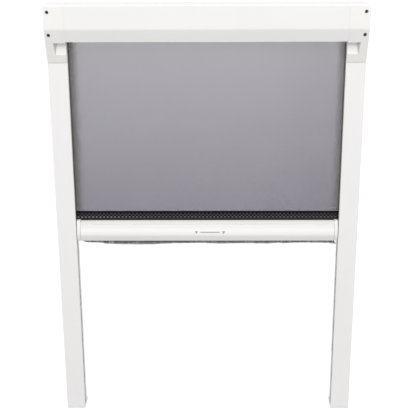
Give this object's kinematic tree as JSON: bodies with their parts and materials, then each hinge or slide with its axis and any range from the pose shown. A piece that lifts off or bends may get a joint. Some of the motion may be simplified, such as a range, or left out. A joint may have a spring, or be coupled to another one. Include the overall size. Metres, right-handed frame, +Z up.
{
  "type": "roller insect screen",
  "caption": "Window insect screen with a sprung roller in a cassette, a net run in brushed side guides, and a pull-down bottom bar.",
  "frame": {"origin": "middle of the screen's width and depth, at the underside of the guides' feet", "axes": "+X to the right seen from the room, +Y from the room towards the window, +Z up along the guides"},
  "size_m": [0.4, 0.046, 0.565],
  "materials": {
    "white_coat": "satin white powder coat on extruded aluminium",
    "white_plastic": "moulded white plastic, slightly warm, fine texture",
    "grey_pile": "grey brush pile",
    "net_thread": "dark grey coated glass-fibre thread",
    "hem_tape": "black woven tape with lighter zigzag stitches",
    "steel": "zinc plated",
    "aluminium": "mill finish",
    "black_plastic": "black moulded plastic"
  },
  "bodies": {
    "frame": {"cassette_housing": "white_coat", "cassette_brush": "grey_pile", "left_end_cap": "white_plastic", "right_end_cap": "white_plastic", "left_cap_screw_upper": "steel", "right_cap_screw_upper": "steel", "left_cap_screw_lower": "steel", "right_cap_screw_lower": "steel", "left_guide": "white_coat", "right_guide": "white_coat", "left_guide_front_brush": "grey_pile", "right_guide_front_brush": "grey_pile", "left_guide_rear_brush": "grey_pile", "right_guide_rear_brush": "grey_pile", "left_foot_cap": "white_plastic", "right_foot_cap": "white_plastic", "left_foot_catch": "black_plastic", "right_foot_catch": "black_plastic", "spindle": "steel", "spindle_holder": "black_plastic", "spring_anchor": "black_plastic", "torsion_spring": "steel", "idle_bearing": "black_plastic"},
    "roller": {"roller_tube": "aluminium", "left_tube_plug": "black_plastic", "right_tube_plug": "black_plastic", "idle_pin": "steel", "tube_spline": "black_plastic", "net_roll": "net_thread"},
    "bar": {"bottom_bar": "white_coat", "left_bar_shoe": "white_plastic", "right_bar_shoe": "white_plastic", "left_shoe_screw": "steel", "right_shoe_screw": "steel", "bar_spline": "black_plastic", "hem_band": "hem_tape", "bar_brush": "grey_pile", "net": "net_thread"}
  },
  "joints": [
    {"name": "bar_travel", "type": "slide", "parent": "frame", "child": "bar", "axis": [0, 0, 1], "range_m": [-0.2455, 0.232], "deforming": ["net"]},
    {"name": "roller_spin", "type": "hinge", "parent": "frame", "child": "roller", "pos_m": [0, -0.006, 0.542], "axis": [1, 0, 0], "range_deg": [-1300, 1212]}
  ],
  "couplings": [
    {"joint": "roller_spin", "follows": "bar_travel", "rad_per_m": 90.909}
  ]
}
